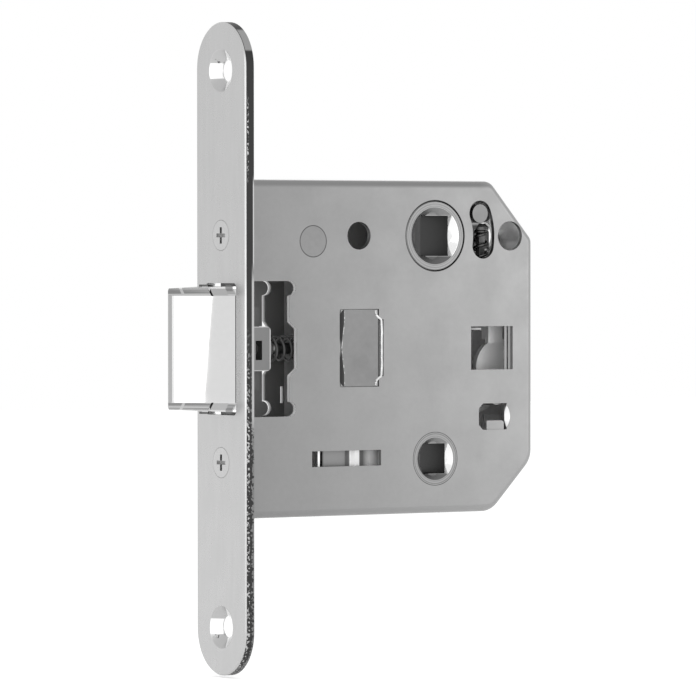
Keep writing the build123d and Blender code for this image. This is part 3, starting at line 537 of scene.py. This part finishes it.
def tube_along(name, path, radius, sides=14):
    """A closed tube: ring i, point j lies at path(i) + radius * (cos a_j * N_i + sin a_j * B_i), where N and B
    are square to the path's direction at i. Each end is closed with one flat face."""
    path = np.asarray(path, float)
    ahead = np.gradient(path, axis=0)
    ahead /= np.linalg.norm(ahead, axis=1, keepdims=True)
    middle = path.mean(axis=0)
    outward = path - middle
    outward -= (outward * ahead).sum(axis=1, keepdims=True) * ahead
    outward /= np.linalg.norm(outward, axis=1, keepdims=True)
    across = np.cross(ahead, outward)
    angle = np.linspace(0, 2 * np.pi, sides, endpoint=False)
    rings = (path[:, None, :] + radius * (np.cos(angle)[None, :, None] * outward[:, None, :]
                                          + np.sin(angle)[None, :, None] * across[:, None, :]))
    rows = len(path)
    index = np.arange(rows * sides).reshape(rows, sides)
    nearby = np.roll(index, -1, axis=1)
    walls = np.stack([index[:-1], nearby[:-1], nearby[1:], index[1:]], axis=-1).reshape(-1, 4)
    caps = [index[0][::-1].tolist(), index[-1].tolist()]
    return smooth_object(name, rings.reshape(-1, 3).tolist(), walls.tolist() + caps)


def helix(coils, length, radius, wire, per_turn=40, blend=0.1):
    """Points of a spring along Z: the height rises only between the two flat end turns, and a short parabola
    joins each flat turn to the slope."""
    turns = np.linspace(0, coils + 2, int((coils + 2) * per_turn) + 1)
    climb = np.clip((turns - 1) / coils, 0, 1)
    leaving = np.abs(turns - 1) < blend
    landing = np.abs(turns - coils - 1) < blend
    climb = np.where(leaving, (turns - 1 + blend) ** 2 / (4 * blend) / coils, climb)
    climb = np.where(landing, 1 - (coils + 1 + blend - turns) ** 2 / (4 * blend) / coils, climb)
    height = wire / 2 + climb * (length - wire)
    angle = 2 * np.pi * turns
    return np.stack([radius * np.cos(angle), radius * np.sin(angle), height], axis=1)


# %% [markdown]
# The latch's spring lies along X and the rod's stands along Z. Each fills the box of the solid that it replaces.
# %% Place the springs
low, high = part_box("latch_spring")
coils, radius, wire = 8, 2.35 * MM, 0.5 * MM
coil = helix(coils, high[0] - low[0], radius, wire)
route = np.stack([low[0] + coil[:, 2], coil[:, 1], -coil[:, 0]], axis=1)
latch_spring = tube_along("latch_spring_coil", route, wire / 2)
low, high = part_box("return_spring")
middle = (low + high) / 2
coils, radius, wire = 6, 1.4 * MM, 0.6 * MM
coil = helix(coils, high[2] - low[2], radius, wire)
return_spring = tube_along("return_spring_coil", coil + np.array([middle[0], middle[1], low[2]]), wire / 2)
for piece, node, finish in ((latch_spring, "latch_spring", dark_wire),
                            (return_spring, "return_spring", wire_steel)):
    piece.data.materials.append(finish)
    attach(piece, "case")
    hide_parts(node)
    print(piece.name, len(piece.data.polygons), "faces")
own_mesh(latch_spring)
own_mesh(return_spring)

# %% [markdown]
# A follower's square way opens at the near face in a pressed mouth: straight edges inside, a circle outside.
# The mouth is a ruled surface from a square to a circle. On the far side the way runs on through a short square
# sleeve, which is a small rectangle carried round a square path. Both are moved a hair's breadth towards the near
# side, so that they don't coincide with the solids' flat faces.
# %% Mouths and sleeves of the followers
HAIR = 0.01


def surface(name, points, closed, finish, body):
    """A mesh from a grid of points, rows by columns, whose columns may close on themselves, riding on a body."""
    rows, columns = points.shape[:2]
    index = np.arange(rows * columns).reshape(rows, columns)
    if closed:
        index = np.concatenate([index, index[:, :1]], axis=1)
    faces = np.stack([index[:-1, :-1], index[1:, :-1], index[1:, 1:], index[:-1, 1:]], axis=-1).reshape(-1, 4)
    piece = smooth_object(name, points.reshape(-1, 3).tolist(), faces.tolist())
    piece.data.materials.append(finish)
    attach(piece, body)
    print(name, len(piece.data.polygons), "faces")


def square_ring(half, angle):
    """Points at given angles on a square of a given half width: r = half / max(|cos|, |sin|)."""
    reach = half / np.maximum(np.abs(np.cos(angle)), np.abs(np.sin(angle)))
    return reach * np.cos(angle), reach * np.sin(angle)


def mouth(name, centre_z, square, body, finish):
    """Point (i, j) lies at share i of the way from the square below to the circle at the near face."""
    angle = np.linspace(0, 2 * np.pi, 144, endpoint=False)
    share = np.linspace(0, 1, 7)[:, None]
    inner_x, inner_z = square_ring(square / 2, angle)
    radius = square * CORNER_REACH + 0.04
    x = BACKSET + inner_x * (1 - share) + radius * np.cos(angle) * share
    z = centre_z + inner_z * (1 - share) + radius * np.sin(angle) * share
    y = NEAR_FACE - HAIR + SILL_SHARE * square * (1 - share ** 1.3) + 0 * x
    points = np.stack([x, y, z], axis=-1) * MM
    surface(name, points[:, ::-1], True, finish, body)


def sleeve(name, centre_z, square, height, body, finish):
    """A rectangle 0.55 mm thick and of a given height, carried round the square way at the far face."""
    angle = np.linspace(0, 2 * np.pi, 96, endpoint=False)
    offsets = np.array([0.0, 0.0, 0.05, 0.5, 0.55, 0.55, 0.0])
    heights = np.array([0.0, 1.0, 1.0, 1.0, 1.0, 0.0, 0.0])
    rings = [square_ring(square / 2 + offset, angle) for offset in offsets]
    x = BACKSET + np.array([ring[0] for ring in rings])
    z = centre_z + np.array([ring[1] for ring in rings])
    y = -NEAR_FACE - HAIR + height * heights[:, None] + 0 * x
    surface(name, np.stack([x, y, z], axis=-1) * MM, True, finish, body)


mouth("lever_mouth", LEVER_Z, LEVER_SQUARE, "follower", lever_zinc)
mouth("turn_mouth", TURN_Z, TURN_SQUARE, "privacy", turn_zinc)
sleeve("lever_sleeve", LEVER_Z, LEVER_SQUARE, 2.4, "follower", lever_zinc)
sleeve("turn_sleeve", TURN_Z, TURN_SQUARE, 0.6, "privacy", turn_zinc)

# %% [markdown]
# Staking pushes metal over at the back of the guide block. It shows as a burr that steps round the bay, with the
# block's shoulder behind it. Its bright tone is bright pushed-over metal and partly a painted highlight. The burr is
# a round bead along a stepped path, whose lower half mirrors its upper half, and which wavers a little outside the
# middle.
# %% The staked burr and the block's shoulder
burr_path = [[32.75, 7.45], [32.85, 6.6], [33.2, 6.2], [33.9, 5.75], [34.2, 5.3], [34.2, 2.2]]
burr_y, burr_radius, waver, beads = -5.38, 0.27, 0.05, 90
half_path = np.array(burr_path)
stations = np.concatenate([half_path, half_path[::-1] * [1, -1]])
knots = np.linspace(0, 1, len(stations))
fine_knots = np.linspace(0, 1, beads)
bead = np.stack([np.interp(fine_knots, knots, stations[:, 0]), np.full(beads, burr_y),
                 np.interp(fine_knots, knots, stations[:, 1])], axis=-1)
bead[:, 0] += waver * np.sin(fine_knots * 47) * (np.abs(bead[:, 2]) > 2.4)
burr = tube_along("block_burr", bead * MM, burr_radius * MM, sides=10)
burr.data.materials.append(burr_steel)
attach(burr, "case")
shoulder_front, shoulder_back = 33.62, 34.58
shoulder_x, shoulder_z = np.meshgrid(np.linspace(shoulder_front, shoulder_back, 7), np.linspace(-5.6, 5.6, 30))
sunk = -5.12 + 0.25 * np.cos((shoulder_x - shoulder_front) * 6)
surface("block_shoulder", np.stack([shoulder_x, sunk, shoulder_z], axis=-1) * MM, False, block_zinc, "case")

# %% [markdown]
# The low window has a small coined ledge along its lower edge, with one rounded corner. The square window has narrow
# lips inside its back and top edges. The same kind of sheet, dark, stands behind the push rod's spring as painted
# shade, closing the view through the slot.
# %% Coined edges of the windows and a dark sheet behind the rod's spring
ledge_x, ledge_y, ledge_z = 59.9, -4.95, -16.8
ledge_long, ledge_tall, ledge_turn = 4.1, 1.87, 0.35
share_u, share_v = np.meshgrid(np.linspace(0, 1, 24), np.linspace(0, 1, 12))
drop = ledge_turn * np.clip((share_u - 0.86) / 0.14, 0, 1) ** 2
ledge_points = np.stack([ledge_x + ledge_long * share_u, ledge_y + 0.05 * share_v - 0.12 * share_u,
                         ledge_z + (ledge_tall - drop) * share_v], axis=-1)
surface("window_ledge", ledge_points * MM, False, case_steel, "case")


def rim(name, x_low, x_high, z_low, z_high, y, body="case", finish=case_steel, slot="case_zinc"):
    """A narrow sheet at a given Y, crowned 0.1 mm across its width."""
    u, v = np.meshgrid(np.linspace(0, 1, 8), np.linspace(0, 1, 24))
    crown = 0.1 * np.sin(np.pi * u)
    points = np.stack([x_low + (x_high - x_low) * u, y - crown, z_low + (z_high - z_low) * v], axis=-1)
    surface(name, points * MM, False, finish, body)


rim("window_rim_inner", 64.35, 65.05, -4.75, 4.15, -4.72)
rim("window_rim_outer", 65.20, 66.05, -4.75, 4.15, -4.85)
rim("window_rim_top", 56.2, 58.6, 3.35, 3.75, -4.85)
# Painted shade: a dark sheet behind the push rod's spring closes the view through the slot.
rim("rod_shade_sheet", 58.9, 64.3, 19.6, 23.0, 0.6, body="rod", finish=rod_steel, slot="inner_steel")

# %% [markdown]
# The floor is pale and plain, just below the forend's lower end, and keeps the object's soft shadow. It glows a
# little, but only for the camera's rays and for mirrored ones.
# %% Floor
def seen_directly(tree):
    """1 for camera rays and for mirrored or refracted ones, 0 for the light that falls on a surface."""
    rays = put(tree, "ShaderNodeLightPath").outputs
    mirrored = calc(tree, "MAXIMUM", rays["Is Glossy Ray"], rays["Is Transmission Ray"])
    return calc(tree, "MAXIMUM", rays["Is Camera Ray"], mirrored)


reach, clearance = 1.6, 0.4 * MM
floor_z = cad_box[0][2] - clearance
corners = [(-reach, -reach), (reach, -reach), (reach, reach), (-reach, reach)]
floor_mesh = bpy.data.meshes.new("studio_floor")
floor_mesh.from_pydata([(x, y, floor_z) for x, y in corners], [], [(0, 1, 2, 3)])
floor = bpy.data.objects.new("studio_floor", floor_mesh)
bpy.context.scene.collection.objects.link(floor)
paper = bpy.data.materials.new("studio_paper")
paper.use_nodes = True
tree = paper.node_tree
tree.nodes.clear()
matt = put(tree, "ShaderNodeBsdfDiffuse", {"Color": (0.9, 0.9, 0.9, 1)})
glow = put(tree, "ShaderNodeEmission", {"Color": (1, 1, 1, 1), "Strength": 0.5})
none = put(tree, "ShaderNodeEmission", {"Color": (0, 0, 0, 1), "Strength": 0.0})
lift = put(tree, "ShaderNodeMixShader", {0: seen_directly(tree), 1: none.outputs[0], 2: glow.outputs[0]})
floor_look = put(tree, "ShaderNodeAddShader", {0: matt.outputs[0], 1: lift.outputs[0]})
put(tree, "ShaderNodeOutputMaterial", {"Surface": floor_look.outputs[0]})
floor_mesh.materials.append(paper)
print("floor at", round(floor_z / MM, 2), "mm")

# %% [markdown]
# The world is an even white, so that the metal shows a white room, as it does in the photograph. It is a little
# weaker for the light that falls on surfaces than for the rays that see it.
# %% World
world = bpy.data.worlds.new("studio_world")
bpy.context.scene.world = world
world.use_nodes = True
tree = world.node_tree
tree.nodes.clear()
soft = put(tree, "ShaderNodeBackground", {"Color": (1, 1, 1, 1), "Strength": 0.7})
white = put(tree, "ShaderNodeBackground", {"Color": (1, 1, 1, 1), "Strength": 1.0})
mixed = put(tree, "ShaderNodeMixShader", {0: seen_directly(tree), 1: soft.outputs[0], 2: white.outputs[0]})
put(tree, "ShaderNodeOutputWorld", {"Surface": mixed.outputs[0]})
print("world ready:", world.name)

# %% [markdown]
# Two soft lamps give the case and the bevel their shape. The bevel mirrors the key lamp, and the lamp's edge
# makes the sharp, leaning border between its white and its grey part. So the lamp stands on the mirrored ray from
# the border's middle, moved sideways by half its size, and faces back along that ray.
# %% Lamps
def soft_lamp(name, centre, back, side, size, power):
    """A square area lamp, whose back looks along one direction and whose X axis lies along another."""
    lamp_data = bpy.data.lights.new(name, "AREA")
    lamp_data.size = size
    lamp_data.energy = power
    lamp = bpy.data.objects.new(name, lamp_data)
    bpy.context.scene.collection.objects.link(lamp)
    back = np.asarray(back, float) / np.linalg.norm(back)
    side = np.asarray(side, float) - np.dot(side, back) * back
    side /= np.linalg.norm(side)
    turned = np.eye(4)
    turned[:3, 0], turned[:3, 1], turned[:3, 2], turned[:3, 3] = side, np.cross(back, side), back, centre
    lamp.matrix_world = turned.T.tolist()


border = np.array([-3.47, -2.02, 0.0]) * MM
mirrored_ray = np.array([-0.8190, -0.5747, -0.0177])
lean = math.radians(4.4)
key_size, key_distance = 0.7, 0.8
across_ray = np.array([-0.5747, 0.8190, 0.0]) * math.cos(lean) + np.array([0, 0, 1.0]) * math.sin(lean)
key_place = border + key_distance * mirrored_ray + key_size / 2 * across_ray
soft_lamp("key_left", key_place, mirrored_ray, across_ray, key_size, 2.0)
fill_place = np.array([0.62, -0.60, 0.1])
soft_lamp("fill_right", fill_place, fill_place, (1, 0, 0), 0.3, 0.35)
print("key lamp at", [round(float(v), 3) for v in key_place])
